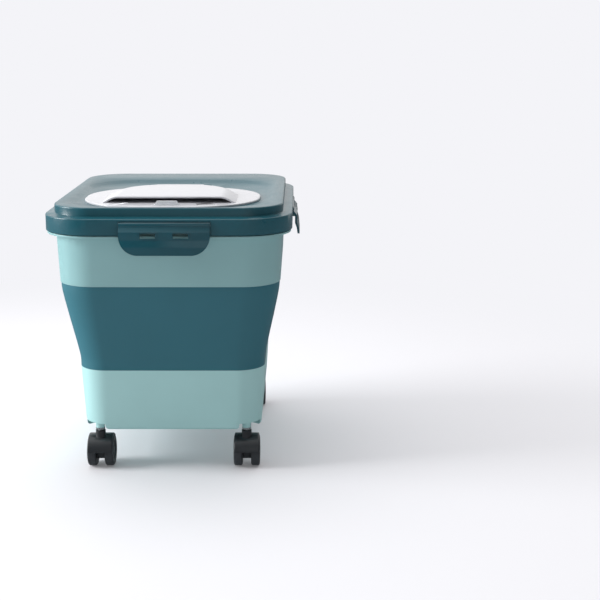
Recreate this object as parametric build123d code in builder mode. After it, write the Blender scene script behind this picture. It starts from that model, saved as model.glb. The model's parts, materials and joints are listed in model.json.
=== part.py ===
# Collapsible pet food container on four swivel casters.
# Millimetres, +Z up, front towards -Y. The origin is on the floor, under the middle of the body.
import os

from build123d import *

os.makedirs("parts", exist_ok=True)

# Body plan: every level is a rounded rectangle, longer than wide by the same amount
length_extra = 66.0
upper_corner_centre = 85.0
lower_corner_centre = 78.0
wall = 2.5

# Heights, each from the level below it
tub_height = 75.9
tub_knee_rise = 12.0
neck_rise = 15.5
folding_height = 105.5
rim_height = 59.0
skirt_gap = 1.2
skirt_height = 18.7
plateau_rise = 11.6

# Widths: the half width of the rim's top, and how far the other levels stand in or out from it
rim_top_half = 133.2
rim_taper = 2.4
neck_inset = 21.1
tub_top_inset = 21.7
tub_knee_taper = 3.9
tub_foot_taper = 1.2
flange_reach = 10.3
skirt_overhang = 1.5
shoulder_width = 10.75

# Folding wall and rim
folding_wall_thickness = 1.6
flange_thickness = 2.5
upstand_thickness = 2.5
upstand_height = 10.5

# Lid shell
lid_wall = 2.5
seal_gap = 0.4
gasket_rest = 0.2
recess_side_margin = 20.25
recess_front_margin = 10.0
recess_back_margin = 80.0
recess_depth = 3.0
recess_slope = 5.5
recess_corner = 58.0

# Port in the lid and its flip cover
cover_width = 211.0
cover_length = 175.0
cover_straight = 15.0
cover_front_margin = 14.0
cover_thickness = 2.4
cover_rest = 0.1
port_inset = 8.0
plug_gap = 2.0
plug_wall = 2.0
plug_depth = 8.0
seal_clearance = 0.6

# Grip arch on the cover, and the well under it
arch_width = 176.0
arch_straight = 8.0
arch_height = 7.6
arch_shoulder = 0.86
arch_shoulder_spread = 0.72
arch_wall = 2.2
arch_front_offset = 30.0
arch_back_offset = 13.0
well_width = 146.0
well_front_reach = 9.5
well_back_inset = 3.0
well_straight = 14.0
well_depth = 9.6
well_wall = 1.6
well_flange = 2.2
tab_width = 31.0
tab_top_width = 23.0
tab_height = 5.4
tab_thickness = 2.0
tab_front_margin = 10.0

# Cover hinge
hinge_barrel_radius = 2.6
hinge_barrel_length = 60.0
hinge_ear_length = 10.0
hinge_pin_radius = 1.25
hinge_tongue = 1.8
running_clearance = 0.05
free_clearance = 0.4

# Side latches: outward distances are from the hinge axis, heights are below it
latch_width = 104.0
latch_axis_inset = 2.4
latch_axis_rise = 11.6
latch_barrel_radius = 4.2
latch_shoulder_drop = 2.2
latch_face = 7.8
latch_face_drop = 7.0
latch_plate = 2.6
latch_bend_drop = 16.7
latch_bend_height = 6.8
latch_lip_face = 10.0
latch_drop = 33.3
latch_flare = 1.0
latch_corner = 22.0
window_width = 17.6
window_height = 6.3
window_spacing = 37.4
window_drop = 11.2
window_border = 1.0
window_border_height = 0.5
latch_pin_radius = 1.5
ear_length = 6.0
ear_reach = 5.5
bridge_clearance = 0.35
lug_width = 14.0
lug_height = 5.3
lug_clearance = 0.3
relief_depth = 6.0
relief_margin = 1.5

# Casters
caster_inset_x = 17.4
caster_inset_y = 14.4
wheel_radius = 19.0
wheel_width = 10.4
wheel_gap = 0.6
wheel_edge = 2.6
hub_cap = 1.6
hub_recess = 1.0
caster_trail = 5.0
hood_clearance = 0.6
hood_thickness = 1.5
hood_inset = 0.9
hood_skirt_rise = 3.0
web_wall = 1.6
web_radius = 10.5
neck_wall = 2.8
neck_length = 6.5
neck_gap = 3.6
collar_thickness = 2.2
collar_width = 2.3
socket_reach = 0.4
stem_radius = 3.2
stem_length = 34.0
stem_in_neck = 9.0
axle_radius = 2.5
axle_inset = 2.8
pocket_radius = 17.0
pocket_height = 8.0
boss_wall = 2.0
boss_draft = 0.5
boss_top_wall = 4.0

# Worked-out places
half_extra = length_extra / 2
axle_height = wheel_radius
hood_inner_radius = wheel_radius + hood_clearance
hood_outer_radius = hood_inner_radius + hood_thickness
neck_top = axle_height + hood_outer_radius + neck_length
socket_mouth = neck_top + neck_gap
floor_underside = socket_mouth + socket_reach
tub_knee_height = floor_underside + tub_knee_rise
tub_top = floor_underside + tub_height
neck_height = tub_top + neck_rise
rim_bottom = tub_top + folding_height
flange_underside = rim_bottom + rim_height
rim_bottom_half = rim_top_half - rim_taper
neck_half = rim_top_half - neck_inset
tub_top_half = rim_top_half - tub_top_inset
tub_knee_half = tub_top_half - tub_knee_taper
tub_foot_half = tub_knee_half - tub_foot_taper
flange_half = rim_top_half + flange_reach
skirt_half = flange_half + skirt_overhang
plateau_half = skirt_half - shoulder_width
skirt_face = skirt_half + half_extra
plateau_front = -(plateau_half + half_extra)
flange_top = flange_underside + flange_thickness
upstand_top = flange_top + upstand_height
skirt_bottom = flange_top + skirt_gap
shoulder_top = skirt_bottom + skirt_height
plateau_top = shoulder_top + plateau_rise
shoulder_underside = shoulder_top - lid_wall
recess_floor = plateau_top - recess_depth
recess_half_width = plateau_half - recess_side_margin
plate_underside = recess_floor - lid_wall
upstand_inner_half = rim_top_half + seal_gap
upstand_outer_half = upstand_inner_half + upstand_thickness
gasket_inner_half = upstand_inner_half - seal_gap / 2
gasket_outer_half = upstand_outer_half + seal_gap / 2
gasket_bottom = upstand_top + gasket_rest
cover_front = plateau_front + cover_front_margin
cover_middle = cover_front + cover_length / 2
cover_back = cover_front + cover_length
cover_underside = recess_floor + cover_rest
cover_top = cover_underside + cover_thickness
cover_corner = (cover_length - cover_straight) / 2
port_width = cover_width - 2 * port_inset
port_length = cover_length - 2 * port_inset
port_corner = cover_corner - port_inset
plug_width = port_width - 2 * plug_gap
plug_length = port_length - 2 * plug_gap
plug_corner = port_corner - plug_gap
arch_front = cover_front + arch_front_offset
arch_length = cover_length - arch_front_offset - arch_back_offset
arch_corner = (arch_length - arch_straight) / 2
arch_middle = arch_front + arch_length / 2
well_front = arch_front - well_front_reach
well_length = arch_length + well_front_reach - well_back_inset
well_middle = well_front + well_length / 2
well_corner = (well_length - well_straight) / 2
hinge_y = cover_back + hinge_barrel_radius + free_clearance
hinge_z = recess_floor + hinge_barrel_radius + free_clearance
latch_axis_y = -(skirt_face - latch_axis_inset)
latch_axis_height = skirt_bottom + latch_axis_rise
bridge_underside = latch_axis_height + latch_barrel_radius + bridge_clearance
lug_top = flange_underside + lug_height
latch_plate_inner = latch_face - latch_plate
notch_half = latch_width / 2 + free_clearance
lug_tip_y = latch_axis_y - latch_plate_inner + lug_clearance
flange_edge_y = -(flange_half + half_extra)
caster_spread_x = tub_foot_half - caster_inset_x
caster_spread_y = tub_foot_half + half_extra - caster_inset_y
web_half_width = stem_radius + web_wall
wheel_inner_face = web_half_width + wheel_gap
wheel_outer_face = wheel_inner_face + wheel_width
hood_half_width = wheel_outer_face - hood_inset
axle_half_length = wheel_outer_face - axle_inset
neck_radius = stem_radius + neck_wall
collar_radius = stem_radius + collar_width
boss_mouth_radius = stem_radius + boss_wall
boss_root_radius = boss_mouth_radius + boss_draft
boss_top_radius = stem_radius + boss_top_wall
pocket_roof = floor_underside + pocket_height
boss_height = stem_length - stem_in_neck - neck_gap + free_clearance
boss_top = socket_mouth + boss_height + wall
stem_bottom = neck_top - stem_in_neck

# Each side's place for what is drawn at the front
sides = {
    "front": Location((0, 0, 0)),
    "right": Location((-half_extra, 0, 0), (0, 0, 90)),
    "back": Location((0, 0, 0), (0, 0, 180)),
    "left": Location((half_extra, 0, 0), (0, 0, 270)),
}
corners = {
    "front_left": (-caster_spread_x, -caster_spread_y),
    "front_right": (caster_spread_x, -caster_spread_y),
    "back_left": (-caster_spread_x, caster_spread_y),
    "back_right": (caster_spread_x, caster_spread_y),
}


def level(half_width, corner_centre):
    """One level of the body: a rounded rectangle, as wide and long as its half width says."""
    RectangleRounded(2 * half_width, 2 * half_width + length_extra, half_width - corner_centre)


def write(piece, name):
    """Labels a finished piece and writes its file."""
    piece.label = name
    export_step(piece, f"parts/{name}.step")


# Room inside the tub: the tapered hollow, less the caster pockets and stem sockets that stand in it
hollow_floor = floor_underside + wall
hollow_foot_half = tub_foot_half - wall + (tub_knee_half - tub_foot_half) * wall / (tub_knee_height - floor_underside)
with BuildPart() as tub_hollow:
    for height, half in (
        (hollow_floor, hollow_foot_half),
        (tub_knee_height, tub_knee_half - wall),
        (tub_top, tub_top_half - wall),
    ):
        with BuildSketch(Plane.XY.offset(height)):
            level(half, lower_corner_centre)
    loft(ruled=True)
    with BuildSketch(Plane.XY.offset(hollow_floor)):
        with Locations(*corners.values()):
            Circle(pocket_radius + wall)
    extrude(amount=pocket_roof + wall - hollow_floor, mode=Mode.SUBTRACT)
    with BuildSketch(Plane.XY.offset(pocket_roof)):
        with Locations(*corners.values()):
            Circle(boss_top_radius)
    extrude(amount=boss_top - pocket_roof, mode=Mode.SUBTRACT)

# Base tub: tapered walls, a floor, and a caster pocket with its stem socket in each corner
with BuildPart() as base_tub:
    for height, half in (
        (floor_underside, tub_foot_half),
        (tub_knee_height, tub_knee_half),
        (tub_top, tub_top_half),
    ):
        with BuildSketch(Plane.XY.offset(height)):
            level(half, lower_corner_centre)
    loft(ruled=True)
    fillet(base_tub.edges().group_by(Axis.Z)[0], 2 * wall)
    add(tub_hollow.part, mode=Mode.SUBTRACT)
    with BuildSketch(Plane.XY.offset(floor_underside)):
        with Locations(*corners.values()):
            Circle(pocket_radius)
    extrude(amount=pocket_height, mode=Mode.SUBTRACT)
    for middle in corners.values():
        with BuildSketch(Plane((*middle, pocket_roof))):
            Circle(boss_root_radius)
        with BuildSketch(Plane((*middle, socket_mouth))):
            Circle(boss_mouth_radius)
        loft()
    with BuildSketch(Plane.XY.offset(socket_mouth)):
        with Locations(*corners.values()):
            Circle(stem_radius + running_clearance)
    extrude(amount=boss_height, mode=Mode.SUBTRACT)
write(base_tub.part, "base_tub")

# Folding wall: one thin sleeve between the tub and the rim, drawn in down to its neck and upright below it
folding_levels = (
    (tub_top, tub_top_half, lower_corner_centre),
    (neck_height, neck_half, lower_corner_centre),
    (rim_bottom, rim_bottom_half, upper_corner_centre),
)
with BuildPart() as folding_wall:
    for inset, mode in ((0, Mode.ADD), (folding_wall_thickness, Mode.SUBTRACT)):
        for height, half, centre in folding_levels:
            with BuildSketch(Plane.XY.offset(height)):
                level(half - inset, centre)
        loft(ruled=True, mode=mode)
write(folding_wall.part, "folding_wall")

# Rim band: the stiff upper ring, its flange, the upstand that the lid seals on, and a lug and reliefs per latch
with BuildPart() as rim_band:
    for height, half in ((rim_bottom, rim_bottom_half), (flange_underside, rim_top_half)):
        with BuildSketch(Plane.XY.offset(height)):
            level(half, upper_corner_centre)
    loft(ruled=True)
    with BuildSketch(Plane.XY.offset(flange_underside)):
        level(flange_half, upper_corner_centre)
    extrude(amount=flange_thickness)
    with BuildSketch(Plane.XY.offset(flange_top)):
        level(upstand_outer_half, upper_corner_centre)
    extrude(amount=upstand_top - flange_top)
    for height, half in ((rim_bottom, rim_bottom_half - wall), (flange_underside, rim_top_half - wall)):
        with BuildSketch(Plane.XY.offset(height)):
            level(half, upper_corner_centre)
    loft(ruled=True, mode=Mode.SUBTRACT)
    with BuildSketch(Plane.XY.offset(flange_underside)):
        level(rim_top_half - wall, upper_corner_centre)
    extrude(amount=flange_thickness, mode=Mode.SUBTRACT)
    with BuildSketch(Plane.XY.offset(flange_top)):
        level(upstand_inner_half, upper_corner_centre)
    extrude(amount=upstand_top - flange_top, mode=Mode.SUBTRACT)
    for place in sides.values():
        with Locations(place):
            with Locations((0, (lug_tip_y + flange_edge_y + wall) / 2, (flange_underside + lug_top) / 2)):
                Box(lug_width, flange_edge_y - lug_tip_y + wall, lug_top - flange_underside)
            with Locations(
                (-window_spacing / 2, flange_edge_y, flange_underside + flange_thickness / 2),
                (window_spacing / 2, flange_edge_y, flange_underside + flange_thickness / 2),
            ):
                Box(window_width + 2 * relief_margin, 2 * relief_depth, 2 * flange_thickness, mode=Mode.SUBTRACT)
write(rim_band.part, "rim_band")

# Lid shell: skirt, shoulder, raised plateau with a sunken field, the port and the hinge ears
with BuildPart() as lid_shell:
    with BuildSketch(Plane.XY.offset(skirt_bottom)):
        level(skirt_half, upper_corner_centre)
    extrude(amount=shoulder_top - skirt_bottom)
    fillet(lid_shell.edges().group_by(Axis.Z)[-1], 0.5 * lid_wall)
    with BuildSketch(Plane.XY.offset(shoulder_underside)):
        level(plateau_half, upper_corner_centre)
    extrude(amount=plateau_top - shoulder_underside)
    fillet(lid_shell.edges().group_by(Axis.Z)[-1], 0.7 * lid_wall)
    with BuildSketch(Plane.XY.offset(skirt_bottom)):
        level(skirt_half - lid_wall, upper_corner_centre)
    extrude(amount=shoulder_underside - skirt_bottom, mode=Mode.SUBTRACT)
    with BuildSketch(Plane.XY.offset(shoulder_underside)):
        level(plateau_half - lid_wall, upper_corner_centre)
    extrude(amount=plate_underside - shoulder_underside, mode=Mode.SUBTRACT)
    recess_front = plateau_front + recess_front_margin
    recess_back = -plateau_front - recess_back_margin
    for height, spread in ((recess_floor, 0), (plateau_top, recess_slope)):
        with BuildSketch(Plane.XY.offset(height)):
            with Locations((0, (recess_front + recess_back) / 2)):
                RectangleRounded(
                    2 * (recess_half_width + spread), recess_back - recess_front + 2 * spread,
                    recess_corner + spread,
                )
    loft(ruled=True, mode=Mode.SUBTRACT)
    with BuildSketch(Plane.XY.offset(plate_underside)):
        with Locations((0, cover_middle)):
            RectangleRounded(port_width, port_length, port_corner)
    extrude(amount=plateau_top - plate_underside, mode=Mode.SUBTRACT)
    for place in sides.values():
        with Locations(place):
            with Locations((0, latch_axis_y, (skirt_bottom + bridge_underside) / 2)):
                Box(2 * notch_half, 2 * ear_reach, bridge_underside - skirt_bottom, mode=Mode.SUBTRACT)
            ear_foot = latch_axis_height - latch_barrel_radius
            ear_size = (ear_length, ear_reach + latch_axis_inset, shoulder_underside - ear_foot)
            ear_y = latch_axis_y + (ear_reach - latch_axis_inset) / 2
            ear_z = (shoulder_underside + ear_foot) / 2
            with Locations(
                (-notch_half - ear_length / 2, ear_y, ear_z),
                (notch_half + ear_length / 2, ear_y, ear_z),
            ):
                Box(*ear_size)
            with Locations(Location((0, latch_axis_y, latch_axis_height), (0, 90, 0))):
                Cylinder(
                    latch_pin_radius + running_clearance, 2 * (notch_half + ear_length) - 2,
                    mode=Mode.SUBTRACT,
                )
    for end in (-1, 1):
        ear_start = end * (hinge_barrel_length / 2 + free_clearance)
        with BuildSketch(Plane.YZ.offset(ear_start)):
            with Locations((hinge_y, hinge_z)):
                Circle(hinge_barrel_radius)
            with Locations((hinge_y, (recess_floor + hinge_z) / 2)):
                Rectangle(2 * hinge_barrel_radius, hinge_z - recess_floor)
            with Locations((hinge_y, hinge_z)):
                Circle(hinge_pin_radius + running_clearance, mode=Mode.SUBTRACT)
        extrude(amount=end * hinge_ear_length)
write(lid_shell.part, "lid_shell")

# Lid gasket: a soft ring under the shoulder, just above the rim's upstand
with BuildPart() as lid_gasket:
    with BuildSketch(Plane.XY.offset(gasket_bottom)):
        level(gasket_outer_half, upper_corner_centre)
    extrude(amount=shoulder_underside - gasket_bottom)
    with BuildSketch(Plane.XY.offset(gasket_bottom)):
        level(gasket_inner_half, upper_corner_centre)
    extrude(amount=shoulder_underside - gasket_bottom, mode=Mode.SUBTRACT)
write(lid_gasket.part, "lid_gasket")

# Port cover: an oval plate with a plug ring below, a grip arch over its well, a thumb tab and a hinge barrel
with BuildPart() as grip_arch:
    shoulder_x = arch_shoulder_spread * arch_width / 2
    inner_shoulder_x = arch_shoulder_spread * well_width / 2
    shoulder_z = cover_top + arch_shoulder * arch_height
    crown_z = cover_top + arch_height
    with BuildSketch(Plane.XZ.offset(-arch_front)):
        with BuildLine():
            Spline(
                (-arch_width / 2, cover_top - arch_wall / 2), (-shoulder_x, shoulder_z), (0, crown_z),
                (shoulder_x, shoulder_z), (arch_width / 2, cover_top - arch_wall / 2),
                tangents=((1, 0.1), (1, -0.1)),
            )
            Line((arch_width / 2, cover_top - arch_wall / 2), (arch_width / 2, cover_underside))
            Line((arch_width / 2, cover_underside), (-arch_width / 2, cover_underside))
            Line((-arch_width / 2, cover_underside), (-arch_width / 2, cover_top - arch_wall / 2))
        make_face()
        with BuildLine():
            Spline(
                (-well_width / 2, cover_underside), (-inner_shoulder_x, shoulder_z - arch_wall),
                (0, crown_z - arch_wall), (inner_shoulder_x, shoulder_z - arch_wall),
                (well_width / 2, cover_underside), tangents=((1, 0.5), (1, -0.5)),
            )
            Line((well_width / 2, cover_underside), (-well_width / 2, cover_underside))
        make_face(mode=Mode.SUBTRACT)
    extrude(amount=-arch_length)
    with BuildSketch(Plane.XY.offset(cover_underside)):
        with Locations((0, arch_middle)):
            RectangleRounded(arch_width, arch_length, arch_corner)
    extrude(amount=arch_height + cover_thickness, mode=Mode.INTERSECT)

with BuildPart() as port_cover:
    with BuildSketch(Plane.XY.offset(cover_underside)):
        with Locations((0, cover_middle)):
            RectangleRounded(cover_width, cover_length, cover_corner)
    extrude(amount=cover_thickness)
    fillet(port_cover.edges().group_by(Axis.Z)[-1], cover_thickness / 2)
    with BuildSketch(Plane.XY.offset(cover_underside)):
        with Locations((0, cover_middle)):
            RectangleRounded(plug_width, plug_length, plug_corner)
            RectangleRounded(
                plug_width - 2 * plug_wall, plug_length - 2 * plug_wall, plug_corner - plug_wall,
                mode=Mode.SUBTRACT,
            )
    extrude(amount=-plug_depth)
    with BuildSketch(Plane.XY.offset(cover_underside)):
        with Locations((0, well_middle)):
            RectangleRounded(well_width, well_length, well_corner)
    extrude(amount=cover_thickness, mode=Mode.SUBTRACT)
    add(grip_arch.part)
    tab_y = cover_front + tab_front_margin
    with BuildSketch(Plane.XZ.offset(-tab_y)):
        with BuildLine():
            Polyline(
                (-tab_width / 2, cover_underside), (-tab_width / 2, cover_top),
                (-tab_top_width / 2, cover_top + tab_height), (tab_top_width / 2, cover_top + tab_height),
                (tab_width / 2, cover_top), (tab_width / 2, cover_underside), close=True,
            )
        make_face()
    extrude(amount=-tab_thickness)
    with BuildSketch(Plane.YZ.offset(-hinge_barrel_length / 2)):
        with Locations((hinge_y, hinge_z)):
            Circle(hinge_barrel_radius)
        with Locations(((cover_back - wall + hinge_y) / 2, cover_top - hinge_tongue / 2)):
            Rectangle(hinge_y - cover_back + wall, hinge_tongue)
        with Locations((hinge_y, hinge_z)):
            Circle(hinge_pin_radius + running_clearance, mode=Mode.SUBTRACT)
    extrude(amount=hinge_barrel_length)
write(port_cover.part, "port_cover")

# Grip well: a shallow pan that closes the hole under the arch
with BuildPart() as grip_well:
    with BuildSketch(Plane.XY.offset(cover_underside)):
        with Locations((0, well_middle)):
            RectangleRounded(
                well_width + 2 * well_flange, well_length + 2 * well_flange, well_corner + well_flange
            )
    extrude(amount=-well_wall)
    with BuildSketch(Plane.XY.offset(cover_underside)):
        with Locations((0, well_middle)):
            RectangleRounded(well_width + well_wall, well_length + well_wall, well_corner + well_wall / 2)
    extrude(amount=-well_depth)
    with BuildSketch(Plane.XY.offset(cover_underside)):
        with Locations((0, well_middle)):
            RectangleRounded(well_width - well_wall, well_length - well_wall, well_corner - well_wall / 2)
    extrude(amount=-(well_depth - well_wall), mode=Mode.SUBTRACT)
write(grip_well.part, "grip_well")

# Cover seal: a soft ring round the plug, inside the port
with BuildPart() as cover_seal:
    with BuildSketch(Plane.XY.offset(plate_underside)):
        with Locations((0, cover_middle)):
            RectangleRounded(
                port_width - 2 * seal_clearance, port_length - 2 * seal_clearance, port_corner - seal_clearance
            )
            RectangleRounded(plug_width, plug_length, plug_corner, mode=Mode.SUBTRACT)
    extrude(amount=lid_wall)
write(cover_seal.part, "cover_seal")

# Cover hinge pin, through the cover's barrel and both ears of the lid
pin_reach = hinge_barrel_length / 2 + free_clearance + hinge_ear_length
with BuildPart() as cover_pin:
    with BuildSketch(Plane.YZ.offset(-pin_reach)):
        with Locations((hinge_y, hinge_z)):
            Circle(hinge_pin_radius)
    extrude(amount=2 * pin_reach)
write(cover_pin.part, "cover_hinge_pin")

# Latch: a barrel on its pin, a windowed plate and an outward lip, all drawn at the front
latch_plane = Plane(
    origin=(latch_width / 2, latch_axis_y, latch_axis_height), x_dir=(0, -1, 0), z_dir=(-1, 0, 0)
)
latch_tip = latch_lip_face + latch_flare
bend_end = latch_bend_drop + latch_bend_height
with BuildPart() as latch:
    with BuildSketch(latch_plane):
        Circle(latch_barrel_radius)
        with BuildLine():
            Polyline(
                (0, 0), (latch_barrel_radius, -latch_shoulder_drop), (latch_face, -latch_face_drop),
                (latch_face, -latch_bend_drop), (latch_lip_face, -bend_end), (latch_tip, -latch_drop),
                (latch_tip - latch_plate, -latch_drop), (latch_lip_face - latch_plate, -bend_end),
                (latch_plate_inner, -latch_bend_drop), (latch_plate_inner, -latch_face_drop - latch_plate / 3),
                (latch_barrel_radius / 2, -0.85 * latch_barrel_radius), close=True,
            )
        make_face()
        Circle(latch_pin_radius + running_clearance, mode=Mode.SUBTRACT)
    extrude(amount=latch_width)
    with BuildSketch(Plane.XZ):
        with Locations((0, latch_axis_height + latch_barrel_radius)):
            Rectangle(latch_width, latch_drop + latch_barrel_radius, align=(Align.CENTER, Align.MAX))
        fillet(vertices().group_by(Axis.Y)[0], latch_corner)
    extrude(amount=2 * skirt_face, mode=Mode.INTERSECT)
    window_z = latch_axis_height - window_drop
    face_y = latch_axis_y - latch_face
    with BuildSketch(Plane.XZ.offset(-face_y)):
        with Locations((-window_spacing / 2, window_z), (window_spacing / 2, window_z)):
            Rectangle(window_width + 2 * window_border, window_height + 2 * window_border)
    extrude(amount=window_border_height)
    with BuildSketch(Plane.XZ.offset(-face_y + window_border_height)):
        with Locations((-window_spacing / 2, window_z), (window_spacing / 2, window_z)):
            Rectangle(window_width, window_height)
    extrude(amount=-(latch_plate + 2 * window_border_height), mode=Mode.SUBTRACT)

# Latch pin, through the latch and the ears of the lid
latch_pin_reach = notch_half + ear_length - 2
with BuildPart() as latch_pin:
    with BuildSketch(Plane.YZ.offset(-latch_pin_reach)):
        with Locations((latch_axis_y, latch_axis_height)):
            Circle(latch_pin_radius)
    extrude(amount=2 * latch_pin_reach)

for side, place in sides.items():
    write(latch.part.moved(place), f"{side}_latch")
    write(latch_pin.part.moved(place), f"{side}_latch_pin")

# Caster stem: a steel pin with a collar under the tub's socket
with BuildPart() as caster_stem:
    with BuildSketch(Plane.XY.offset(stem_bottom)):
        Circle(stem_radius)
    extrude(amount=stem_length)
    with BuildSketch(Plane.XY.offset(socket_mouth)):
        Circle(collar_radius)
    extrude(amount=-collar_thickness)

# Caster hood: a neck that turns on the stem, a web that holds the axle and a cover over the wheels
with BuildPart() as caster_hood:
    with BuildSketch(Plane.YZ.offset(-hood_half_width)):
        with Locations((caster_trail, axle_height)):
            Circle(hood_outer_radius)
        with Locations((caster_trail, axle_height + hood_skirt_rise)):
            Rectangle(4 * wheel_radius, 2 * wheel_radius, align=(Align.CENTER, Align.MAX), mode=Mode.SUBTRACT)
    extrude(amount=2 * hood_half_width)
    fillet(caster_hood.edges().filter_by(GeomType.CIRCLE), 0.7 * hood_thickness)
    with BuildSketch(Plane.XY.offset(axle_height + web_radius)):
        Circle(neck_radius)
    extrude(amount=neck_top - axle_height - web_radius)
    for side in (-1, 1):
        with BuildSketch(Plane.YZ.offset(side * web_half_width)):
            with Locations((caster_trail, axle_height)):
                Circle(hood_inner_radius)
        extrude(amount=side * hood_half_width, mode=Mode.SUBTRACT)
    with BuildSketch(Plane.YZ.offset(-web_half_width)):
        with Locations((caster_trail, axle_height)):
            Circle(web_radius)
            Circle(axle_radius + running_clearance, mode=Mode.SUBTRACT)
    extrude(amount=2 * web_half_width)
    with BuildSketch(Plane.YZ.offset(-web_half_width)):
        with Locations((caster_trail, axle_height)):
            Circle(axle_radius + running_clearance)
    extrude(amount=2 * web_half_width, mode=Mode.SUBTRACT)
    with BuildSketch(Plane.XY.offset(stem_bottom - free_clearance)):
        Circle(stem_radius + running_clearance)
    extrude(amount=neck_top - stem_bottom + free_clearance, mode=Mode.SUBTRACT)

# Caster axle
with BuildPart() as caster_axle:
    with BuildSketch(Plane.YZ.offset(-axle_half_length)):
        with Locations((caster_trail, axle_height)):
            Circle(axle_radius)
    extrude(amount=2 * axle_half_length)

# Caster wheel: drawn on the right of the web, with a capped bore, a dished face and a rounded tread
wheel_axis = Axis((0, caster_trail, axle_height), (1, 0, 0))
hub_face = wheel_outer_face - hub_cap / 2
bore_end = axle_half_length + free_clearance / 2
tread_edge = wheel_radius - wheel_edge
with BuildPart() as caster_wheel:
    with BuildSketch(Plane((0, caster_trail, axle_height), x_dir=(1, 0, 0), z_dir=(0, -1, 0))):
        with BuildLine():
            Polyline(
                (wheel_inner_face, axle_radius + running_clearance), (bore_end, axle_radius + running_clearance),
                (bore_end, 0), (hub_face, 0), (hub_face, 2 * axle_radius),
                (hub_face - hub_recess, 2.6 * axle_radius), (hub_face - hub_recess, tread_edge - 2 * wheel_edge),
                (wheel_outer_face, tread_edge - wheel_edge), (wheel_outer_face, tread_edge),
            )
            RadiusArc((wheel_outer_face, tread_edge), (wheel_outer_face - wheel_edge, wheel_radius), -wheel_edge)
            Polyline(
                (wheel_outer_face - wheel_edge, wheel_radius), (wheel_inner_face + wheel_edge / 2, wheel_radius),
                (wheel_inner_face, wheel_radius - wheel_edge / 2),
                (wheel_inner_face, axle_radius + running_clearance),
            )
        make_face()
    revolve(axis=wheel_axis)

for corner, (x, y) in corners.items():
    place = Location((x, y, 0))
    other_side = Location((x, y + 2 * caster_trail, 0), (0, 0, 180))
    write(caster_stem.part.moved(place), f"{corner}_caster_stem")
    write(caster_hood.part.moved(place), f"{corner}_caster_hood")
    write(caster_axle.part.moved(place), f"{corner}_caster_axle")
    write(caster_wheel.part.moved(place), f"{corner}_right_wheel")
    write(caster_wheel.part.moved(other_side), f"{corner}_left_wheel")
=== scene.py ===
import json
import math

import bmesh
import bpy
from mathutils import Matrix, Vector


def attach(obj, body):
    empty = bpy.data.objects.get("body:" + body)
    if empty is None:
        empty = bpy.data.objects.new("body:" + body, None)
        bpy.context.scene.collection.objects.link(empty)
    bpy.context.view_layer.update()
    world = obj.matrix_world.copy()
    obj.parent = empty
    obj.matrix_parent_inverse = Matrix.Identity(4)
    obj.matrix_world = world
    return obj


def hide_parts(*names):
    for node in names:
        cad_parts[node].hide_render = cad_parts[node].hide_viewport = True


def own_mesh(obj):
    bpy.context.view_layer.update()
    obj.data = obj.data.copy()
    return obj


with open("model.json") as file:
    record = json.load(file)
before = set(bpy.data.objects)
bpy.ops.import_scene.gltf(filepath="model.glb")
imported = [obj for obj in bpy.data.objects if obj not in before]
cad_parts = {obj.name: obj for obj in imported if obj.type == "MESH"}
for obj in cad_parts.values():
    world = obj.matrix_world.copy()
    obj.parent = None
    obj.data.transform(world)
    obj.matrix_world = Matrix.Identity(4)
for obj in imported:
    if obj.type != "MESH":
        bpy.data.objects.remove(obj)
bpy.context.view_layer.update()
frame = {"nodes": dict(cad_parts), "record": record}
MM = 0.001

# Places that the shapes share with the CAD, in millimetres
half_extra = 33.0
upper_corner_centre = 85.0
shoulder_top = 313.4
cover_top = 324.5
arch_front = -123.25
side_latch_axis = 142.6
end_latch_axis = 175.6
latch_axis_height = 306.3

# Finishing: points this close become one, faces this flat become one, and edges this sharp are rolled over
weld_distance = 0.002
flat_degrees = 1.5
sharp_degrees = 30
edge_steps = 3


class Wire:
    """A shader value: a node's output that can be used in Python expressions."""

    def __init__(self, paint, socket):
        self.paint = paint
        self.socket = socket

    def maths(self, operation, first, second=None):
        sockets = {0: first} if second is None else {0: first, 1: second}
        return self.paint.node("ShaderNodeMath", {"operation": operation}, sockets)

    def __add__(self, other):
        return self.maths("ADD", self, other)

    def __sub__(self, other):
        return self.maths("SUBTRACT", self, other)

    def __mul__(self, other):
        return self.maths("MULTIPLY", self, other)

    def __rsub__(self, other):
        return self.maths("SUBTRACT", other, self)

    def __pow__(self, other):
        return self.maths("POWER", self, other)

    __radd__ = __add__
    __rmul__ = __mul__


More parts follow.
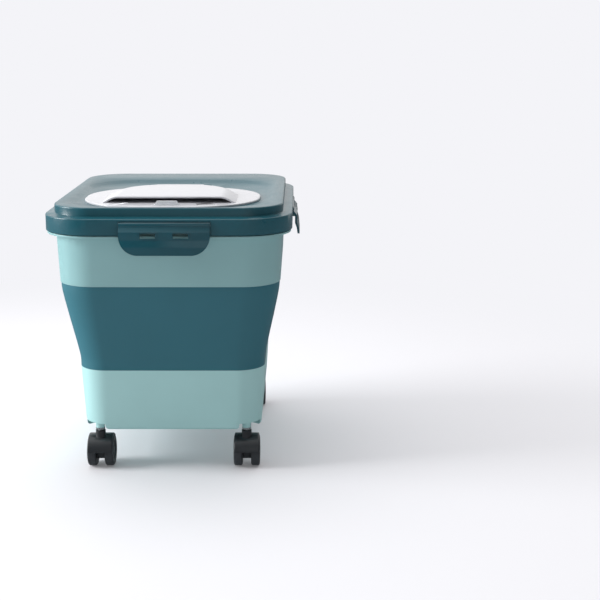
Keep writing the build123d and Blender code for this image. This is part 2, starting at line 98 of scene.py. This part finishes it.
class Paint:
    """One material and its node tree."""

    def __init__(self, name):
        self.material = bpy.data.materials.new(name)
        self.material.use_nodes = True
        self.tree = self.material.node_tree
        self.shader = self.tree.nodes["Principled BSDF"]

    def node(self, kind, settings=None, sockets=None, output=0):
        """Adds a node, makes its settings, fills its sockets and returns one output."""
        node = self.tree.nodes.new(kind)
        for key, value in (settings or {}).items():
            setattr(node, key, value)
        for key, value in (sockets or {}).items():
            if isinstance(value, Wire):
                self.tree.links.new(value.socket, node.inputs[key])
            else:
                node.inputs[key].default_value = value
        return Wire(self, node.outputs[output])

    def set(self, key, value):
        """Sets or links one socket of the surface shader."""
        if isinstance(value, Wire):
            self.tree.links.new(value.socket, self.shader.inputs[key])
        else:
            self.shader.inputs[key].default_value = value

    def place(self):
        """Where a point lies on its own piece, in metres."""
        return self.node("ShaderNodeTexCoord", output="Object")

    def noise(self, scale, detail=3.0, roughness=0.5):
        sockets = {"Vector": self.place(), "Scale": scale, "Detail": detail, "Roughness": roughness}
        return self.node("ShaderNodeTexNoise", {}, sockets)

    def mix(self, share, first, second):
        node = self.tree.nodes.new("ShaderNodeMix")
        node.data_type = "RGBA"
        for key, value in (("Factor", share), ("A", first), ("B", second)):
            socket = [s for s in node.inputs if s.name == key and s.enabled][0]
            if isinstance(value, Wire):
                self.tree.links.new(value.socket, socket)
            else:
                socket.default_value = (*value, 1) if isinstance(value, tuple) else value
        return Wire(self, [s for s in node.outputs if s.enabled][0])

    def bump(self, height, strength, distance):
        sockets = {"Height": height, "Strength": strength, "Distance": distance}
        self.set("Normal", self.node("ShaderNodeBump", {}, sockets))


def srgb(red, green, blue):
    """A screen colour from 0 to 255 as the linear colour that the shaders take."""
    def linear(channel):
        share = channel / 255
        return share / 12.92 if share <= 0.04045 else ((share + 0.055) / 1.055) ** 2.4
    return linear(red), linear(green), linear(blue)


def toned(colour, share):
    """The same colour, made darker or lighter by a factor."""
    return tuple(min(1.0, channel * share) for channel in colour)


studio_white = (*srgb(244, 244, 248), 1)


def moulded_plastic(name, colour, roughness, tone=0.06, coat=0.0):
    """Injection moulded plastic: a fine spark grain, slow tone drift and faint rubbed patches."""
    grain, grain_depth = 2600.0, 0.00002
    paint = Paint(name)
    drift = paint.noise(14.0, 2.0)
    speck = paint.noise(grain, 2.0, 0.6)
    paint.set("Base Color", paint.mix(drift, toned(colour, 1 - tone), toned(colour, 1 + tone)))
    rubbed = paint.noise(55.0, 5.0, 0.65)
    paint.set("Roughness", roughness + (rubbed - 0.5) * 0.16 + (speck - 0.5) * 0.06)
    paint.set("IOR", 1.5)
    if coat:
        paint.set("Coat Weight", coat)
        paint.set("Coat Roughness", 0.12)
    paint.bump(speck, 0.35, grain_depth)
    return paint.material


def soft_wall(name, colour):
    """Matt elastomer with a very fine tooth and a dusty sheen where it drifts."""
    paint = Paint(name)
    drift = paint.noise(9.0, 3.0)
    tooth = paint.noise(3800.0, 3.0, 0.7)
    paint.set("Base Color", paint.mix(drift, toned(colour, 0.92), toned(colour, 1.08)))
    paint.set("Roughness", 0.5 + (drift - 0.5) * 0.12)
    paint.set("IOR", 1.46)
    paint.bump(tooth, 0.4, 0.00002)
    return paint.material


def metal(name, colour, roughness):
    """Plated steel with fine turned streaks."""
    paint = Paint(name)
    streak = paint.noise(900.0, 4.0, 0.7)
    cloud = paint.noise(120.0, 3.0)
    paint.set("Base Color", paint.mix(cloud, toned(colour, 0.85), colour))
    paint.set("Metallic", 1.0)
    paint.set("Roughness", roughness + (streak - 0.5) * 0.2)
    paint.bump(streak, 0.2, 0.00001)
    return paint.material


def silicone(name, colour):
    """Slightly milky seal rubber."""
    paint = Paint(name)
    cloud = paint.noise(60.0, 3.0)
    paint.set("Base Color", paint.mix(cloud, toned(colour, 0.9), colour))
    paint.set("Roughness", 0.55 + (cloud - 0.5) * 0.15)
    paint.set("Subsurface Weight", 0.1)
    paint.set("Subsurface Radius", (0.004, 0.004, 0.004))
    return paint.material


def tyre_plastic(name, colour):
    """Hard black wheel plastic with dust and scuffs on the tread."""
    paint = Paint(name)
    scuff = paint.noise(260.0, 6.0, 0.7)
    dust = paint.noise(45.0, 4.0, 0.6) ** 3.0
    paint.set("Base Color", paint.mix(dust, colour, toned(colour, 2.6)))
    paint.set("Roughness", 0.42 + (scuff - 0.5) * 0.35)
    paint.bump(scuff, 0.3, 0.00004)
    return paint.material


def clear_plastic(name, colour):
    """Clear moulded plastic: mostly see-through, with a bright skin."""
    paint = Paint(name)
    cloud = paint.noise(180.0, 3.0)
    paint.set("Base Color", (*colour, 1))
    paint.set("Roughness", 0.12 + cloud * 0.1)
    paint.set("Transmission Weight", 0.75)
    paint.set("IOR", 1.45)
    return paint.material


finishes = {
    "tub_plastic": moulded_plastic("tub_plastic", srgb(160, 203, 203), 0.42),
    "band_plastic": moulded_plastic("band_plastic", srgb(132, 174, 176), 0.40),
    "fold_wall": soft_wall("fold_wall", srgb(40, 104, 118)),
    "lid_plastic": moulded_plastic("lid_plastic", srgb(24, 82, 94), 0.30),
    "latch_plastic": moulded_plastic("latch_plastic", srgb(20, 74, 86), 0.24, coat=0.3),
    "cover_plastic": moulded_plastic("cover_plastic", srgb(200, 201, 206), 0.24, tone=0.015),
    # The grip well's colour is lifted well above the plastic's own: painted light in the shaded well under
    # the grip
    "well_plastic": moulded_plastic("well_plastic", srgb(150, 170, 168), 0.4),
    "seal": silicone("seal", srgb(214, 220, 220)),
    "steel": metal("steel", srgb(196, 198, 202), 0.28),
    "caster_plastic": moulded_plastic("caster_plastic", srgb(38, 42, 46), 0.32),
    "wheel_plastic": tyre_plastic("wheel_plastic", srgb(46, 50, 54)),
}
clear_tab = clear_plastic("clear_tab", srgb(235, 238, 240))
slot_of = {part["node"]: part["material_slot"] for part in frame["record"]["subparts"]}


def dress(piece, finish):
    """Gives a piece one finish in place of any it had."""
    piece.data.materials.clear()
    piece.data.materials.append(finishes[finish])


for node, piece in frame["nodes"].items():
    dress(piece, slot_of[node])


def select_only(*pieces):
    """Selects these pieces and nothing else, with the first as the active one."""
    bpy.ops.object.select_all(action="DESELECT")
    for piece in pieces:
        piece.select_set(True)
    bpy.context.view_layer.objects.active = pieces[0]


def join(*pieces):
    """Makes one piece of several, under the first one's name."""
    select_only(*pieces)
    bpy.ops.object.join()
    return pieces[0]


def begin_edit(piece):
    """Puts one piece into edit mode, with all of its vertices selected."""
    select_only(piece)
    bpy.ops.object.mode_set(mode="EDIT")
    bpy.ops.mesh.select_mode(type="VERT")
    bpy.ops.mesh.select_all(action="SELECT")


def pick(piece, kind, passes):
    """Selects the vertices or faces that pass a test, and nothing else."""
    bpy.ops.mesh.select_all(action="DESELECT")
    cage = bmesh.from_edit_mesh(piece.data)
    for element in {"VERT": cage.verts, "FACE": cage.faces}[kind]:
        if passes(element):
            element.select_set(True)
    cage.select_flush(True)
    bmesh.update_edit_mesh(piece.data)


def end_edit():
    """Puts the edited piece back into object mode."""
    bpy.ops.object.mode_set(mode="OBJECT")


def apply(piece, kind, **settings):
    """Adds one modifier and applies it."""
    select_only(piece)
    modifier = piece.modifiers.new(kind.lower(), kind)
    for key, value in settings.items():
        setattr(modifier, key, value)
    bpy.ops.object.modifier_apply(modifier=modifier.name)


def roll_edges(piece, width, degrees=sharp_degrees):
    """Rolls over the edges that are sharper than an angle, by a width in millimetres."""
    apply(
        piece, "BEVEL", width=width * MM, segments=edge_steps, limit_method="ANGLE",
        angle_limit=math.radians(degrees), use_clamp_overlap=True,
    )


def smooth(piece, degrees=35):
    """Shades a piece smooth, apart from its edges that are sharper than an angle."""
    select_only(piece)
    bpy.ops.object.shade_smooth_by_angle(angle=math.radians(degrees))


bodies = frame["record"]["behaviour"]["bodies"]
body_of_node = {node: body for body, nodes in bodies.items() for node in nodes}


def stand_in(piece, node):
    """The piece takes the place of one CAD node: it gets the node's body and finish, and the node is hidden.
    """
    finish = slot_of[node]
    dress(piece, finish)
    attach(piece, body_of_node[node])
    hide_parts(node)


def soften(node, width, reshape=None):
    """A finished copy of a CAD node: reshaped, its flats made whole again and its sharp edges rolled over."""
    source = frame["nodes"][node]
    piece = source.copy()
    piece.data = source.data.copy()
    piece.parent = None
    piece.name = node + "_finished"
    bpy.context.scene.collection.objects.link(piece)
    begin_edit(piece)
    bpy.ops.mesh.remove_doubles(threshold=weld_distance * MM)
    if reshape:
        reshape(piece)
        bpy.ops.mesh.select_all(action="SELECT")
    bpy.ops.mesh.dissolve_limited(angle_limit=math.radians(flat_degrees))
    end_edit()
    roll_edges(piece, width)
    smooth(piece)
    return piece


def rounded_plate(half_width, half_length, corner, corner_steps, place):
    """Adds a flat rounded rectangle, in millimetres, and leaves it selected in edit mode."""
    bpy.ops.object.select_all(action="DESELECT")
    bpy.ops.mesh.primitive_plane_add(size=2.0, location=(0, 0, 0))
    plate = bpy.context.object
    bpy.ops.object.mode_set(mode="EDIT")
    bpy.ops.mesh.select_all(action="SELECT")
    bpy.ops.transform.resize(value=(half_width * MM, half_length * MM, 1))
    bpy.ops.transform.translate(value=[distance * MM for distance in place])
    bpy.ops.mesh.bevel(offset=corner * MM, segments=corner_steps, affect="VERTICES")
    bpy.ops.mesh.select_all(action="SELECT")
    return plate


def rounded_loop(half, corner_centre, height):
    """One level of the body as a loop of edges, in millimetres like the CAD source."""
    loop = rounded_plate(half, half + half_extra, half - corner_centre, 20, (0, 0, height))
    bpy.ops.mesh.delete(type="ONLY_FACE")
    end_edit()
    return loop


def model_folding_wall():
    """The soft wall: upright above the tub, then wider up to the rim."""
    thickness = 1.5
    # Each level's half width, corner centre and height
    levels = [
        (111.4, 78.0, 126.5), (111.5, 78.0, 133.0), (111.8, 78.0, 137.5), (112.5, 78.2, 142.0),
        (113.5, 78.6, 147.0), (114.8, 79.0, 153.5), (118.4, 80.2, 170.0), (122.8, 81.9, 190.0),
        (127.0, 83.5, 210.0), (129.0, 84.4, 221.0), (129.7, 84.8, 227.0), (129.9, 85.0, 232.0),
    ]
    wall = join(*[rounded_loop(*level) for level in levels])
    wall.name = "folding_wall_finished"
    begin_edit(wall)
    for (_, _, low), (_, _, high) in zip(levels, levels[1:]):
        pick(wall, "VERT", lambda v: min(abs(v.co.z / MM - low), abs(v.co.z / MM - high)) < 0.1)
        bpy.ops.mesh.bridge_edge_loops()
    bpy.ops.mesh.select_all(action="SELECT")
    bpy.ops.mesh.normals_make_consistent(inside=False)
    end_edit()
    apply(wall, "SOLIDIFY", thickness=thickness * MM, offset=-1.0, use_even_offset=True)
    smooth(wall, 50)
    stand_in(wall, "folding_wall")
    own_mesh(wall)


def level_half(point):
    """How far out a point lies on the upper body's plan, as the half width of its level, in millimetres."""
    x = abs(point.x) / MM - upper_corner_centre
    y = abs(point.y) / MM - half_extra - upper_corner_centre
    return upper_corner_centre + (math.hypot(x, y) if x > 0 and y > 0 else max(x, y))


def raise_shoulder(lid):
    """The shoulder climbs a little towards the plateau's wall."""
    just_outside_plateau = 134.4
    climb = 1.6
    pick(
        lid, "VERT",
        lambda v: abs(v.co.z / MM - shoulder_top) < 0.05 and level_half(v.co) < just_outside_plateau,
    )
    bpy.ops.transform.translate(value=(0, 0, climb * MM))


def cut_arch_away(cover):
    """Leaves the flat plate with its hole, so that the grip can be modelled as one swell."""
    in_front_of_hinge = 15.0
    cut_height = cover_top + 0.02
    pick(cover, "FACE", lambda f: f.calc_center_median().y / MM < in_front_of_hinge)
    bpy.ops.mesh.bisect(
        plane_co=(0, 0, cut_height * MM), plane_no=(0, 0, 1), clear_outer=True, use_fill=True
    )
    bpy.ops.mesh.select_all(action="SELECT")
    bpy.ops.mesh.remove_doubles(threshold=weld_distance * MM)


def model_grip():
    """The grip: a low swell that runs out to the cover on three sides and stands open at the front."""
    width, depth, corner = 158.0, 132.0, 70.0
    fade, crown, skin, sunk = 19.0, 7.6, 2.1, 0.05
    steps, fullness = 12, 1.15
    grip = rounded_plate(width / 2, depth, corner, 32, (0, arch_front, cover_top - sunk))
    grip.name = "grip_swell"
    bpy.ops.mesh.select_mode(type="FACE")
    bpy.ops.mesh.select_all(action="SELECT")
    height = 0.0
    for step in range(1, steps + 1):
        target = crown * math.sin(step / steps * math.pi / 2) ** fullness
        bpy.ops.mesh.inset(thickness=fade / steps * MM, depth=(target - height) * MM, use_even_offset=True)
        height = target
    bpy.ops.mesh.select_all(action="SELECT")
    bpy.ops.mesh.bisect(plane_co=(0, arch_front * MM, 0), plane_no=(0, -1, 0), clear_outer=True)
    end_edit()
    apply(grip, "SOLIDIFY", thickness=skin * MM, offset=-1.0, use_even_offset=True)
    roll_edges(grip, 0.6, 50)
    smooth(grip, 40)
    return grip


def model_tab():
    """The clear thumb tab: a thin upright tongue on the cover's front rim."""
    width, top_width, thickness, height = 31.0, 23.0, 1.8, 6.6
    bpy.ops.object.select_all(action="DESELECT")
    bpy.ops.mesh.primitive_cube_add(size=1.0, location=(0, -0.1422, 0.3265))
    tab = bpy.context.object
    tab.name = "thumb_tab"
    bpy.ops.object.mode_set(mode="EDIT")
    bpy.ops.mesh.select_all(action="SELECT")
    bpy.ops.transform.resize(value=(width * MM, thickness * MM, height * MM))
    pick(tab, "FACE", lambda f: f.normal.z > 0.9)
    bpy.ops.transform.resize(value=(top_width / width, 1, 1))
    end_edit()
    bpy.ops.object.transform_apply(location=True, rotation=True, scale=True)
    roll_edges(tab, 0.5)
    smooth(tab)
    tab.data.materials.append(clear_tab)
    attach(tab, body_of_node["port_cover"])


def level_ledge(latch):
    """The small ledge between barrel and plate is drawn together, on whichever side the latch hangs."""
    ledge = 0.8

    def on_ledge(v):
        out = max(abs(v.co.x) / MM - side_latch_axis, abs(v.co.y) / MM - end_latch_axis)
        up = v.co.z / MM - latch_axis_height
        return 3.3 < out < 4.4 and -2.5 < up < -1.5

    pick(latch, "VERT", on_ledge)
    bpy.ops.mesh.remove_doubles(threshold=ledge * MM)


model_folding_wall()
stand_in(soften("lid_shell", 0.5, raise_shoulder), "lid_shell")
for node, width in (("base_tub", 0.5), ("rim_band", 0.4), ("grip_well", 0.4)):
    stand_in(soften(node, width), node)
stand_in(join(soften("port_cover", 0.4, cut_arch_away), model_grip()), "port_cover")
model_tab()
for side in ("front", "right", "back", "left"):
    stand_in(soften(side + "_latch", 0.4, level_ledge), side + "_latch")
for corner in ("front_left", "front_right", "back_left", "back_right"):
    stand_in(soften(corner + "_caster_hood", 0.5), corner + "_caster_hood")


def blend(tree, share, first, second):
    """Mixes two shaders by a share, all given as sockets."""
    mixer = tree.nodes.new("ShaderNodeMixShader")
    for socket, source in zip(mixer.inputs, (share, first, second)):
        tree.links.new(source, socket)
    return mixer.outputs[0]


def backdrop():
    """A studio: white to the camera; bright above, behind and to the left of the container, dim elsewhere."""
    backwards, rightwards, level, least = 0.75, -0.35, 0.12, 0.06
    world = bpy.data.worlds.new("studio")
    bpy.context.scene.world = world
    world.use_nodes = True
    tree = world.node_tree
    tree.nodes.clear()

    def maths(operation, first, second):
        node = tree.nodes.new("ShaderNodeMath")
        node.operation = operation
        for socket, value in zip(node.inputs, (first, second)):
            if isinstance(value, (int, float)):
                socket.default_value = value
            else:
                tree.links.new(value, socket)
        return node.outputs[0]

    path = tree.nodes.new("ShaderNodeLightPath")
    seen = maths("MAXIMUM", path.outputs["Is Camera Ray"], path.outputs["Is Transmission Ray"])
    direction = tree.nodes.new("ShaderNodeSeparateXYZ")
    tree.links.new(tree.nodes.new("ShaderNodeTexCoord").outputs["Generated"], direction.inputs[0])
    across, behind, above = direction.outputs
    rise = maths("ADD", maths("MULTIPLY", behind, backwards), above)
    rise = maths("ADD", rise, maths("MULTIPLY", across, rightwards))
    strength = maths("MAXIMUM", maths("ADD", rise, level), least)
    soft = tree.nodes.new("ShaderNodeBackground")
    soft.inputs["Color"].default_value = (1.0, 0.99, 0.99, 1)
    tree.links.new(strength, soft.inputs["Strength"])
    white = tree.nodes.new("ShaderNodeBackground")
    white.inputs["Color"].default_value = studio_white
    output = tree.nodes.new("ShaderNodeOutputWorld")
    tree.links.new(blend(tree, seen, soft.outputs[0], white.outputs[0]), output.inputs["Surface"])


def studio_floor():
    """A pale floor: it keeps the shadow near the container, turns white further away and mirrors dimly."""
    mirror_share = 0.85
    bpy.ops.object.select_all(action="DESELECT")
    bpy.ops.mesh.primitive_plane_add(size=60.0, location=(0, 0, 0))
    floor = bpy.context.object
    floor.name = "studio_floor"
    paint = Paint("studio_floor")
    paint.set("Base Color", (*srgb(226, 226, 230), 1))
    paint.set("Roughness", 0.6)
    paint.set("Specular IOR Level", 0.1)
    away = paint.node("ShaderNodeVectorMath", {"operation": "LENGTH"}, {0: paint.place()}, "Value")
    fade = paint.node(
        "ShaderNodeMapRange", {"interpolation_type": "SMOOTHSTEP"},
        {"Value": away, "From Min": 0.3, "From Max": 1.1, "To Min": 0.12, "To Max": 1.0},
    )
    seen = paint.node("ShaderNodeLightPath", output="Is Camera Ray")
    glow = paint.node("ShaderNodeEmission", {}, {"Color": studio_white, "Strength": 1.0})
    faded = blend(paint.tree, (seen * fade).socket, paint.shader.outputs[0], glow.socket)
    mirrored = paint.node("ShaderNodeLightPath", output="Is Glossy Ray")
    dim = paint.node("ShaderNodeEmission", {}, {"Color": (0.8, 0.9, 0.95, 1), "Strength": 0.16})
    surface = blend(paint.tree, (mirrored * mirror_share).socket, faded, dim.socket)
    paint.tree.links.new(surface, paint.tree.nodes["Material Output"].inputs["Surface"])
    floor.data.materials.append(paint.material)


def lamp(name, place, target, size, power):
    """One large soft white lamp, aimed at a point."""
    light = bpy.data.lights.new(name, "AREA")
    light.shape = "RECTANGLE"
    light.size, light.size_y = size
    light.energy = power
    holder = bpy.data.objects.new(name, light)
    bpy.context.scene.collection.objects.link(holder)
    holder.location = place
    holder.rotation_euler = (Vector(target) - Vector(place)).to_track_quat("-Z", "Y").to_euler()


def photo_camera():
    """The photograph's viewpoint: in front, a little to the right and above the lid, looking down."""
    picture = 600
    focal_pixels = 1241.0
    vanishing_row = 24.7
    sensor = 36.0
    camera = bpy.data.cameras.new("photo_camera")
    camera.sensor_width = sensor
    camera.lens = focal_pixels * sensor / picture
    camera.clip_end = 200.0
    holder = bpy.data.objects.new("photo_camera", camera)
    bpy.context.scene.collection.objects.link(holder)
    holder.location = (0.1540, -1.5684, 0.5285)
    pitch = math.atan((picture / 2 - vanishing_row) / focal_pixels)
    holder.rotation_euler = (math.pi / 2 - pitch, 0, 0)
    bpy.context.scene.camera = holder


bpy.context.scene.view_settings.view_transform = "Standard"
backdrop()
studio_floor()
photo_camera()
lamp("key", place=(-2.3, -0.3, 1.0), target=(0, 0, 0.2), size=(1.0, 1.4), power=72.0)
lamp("fill", place=(0.6, -2.4, 0.9), target=(0, 0, 0.2), size=(1.8, 1.4), power=4.0)
lamp("top", place=(-0.1, 0.3, 2.3), target=(0, 0, 0.3), size=(2.0, 2.0), power=13.0)
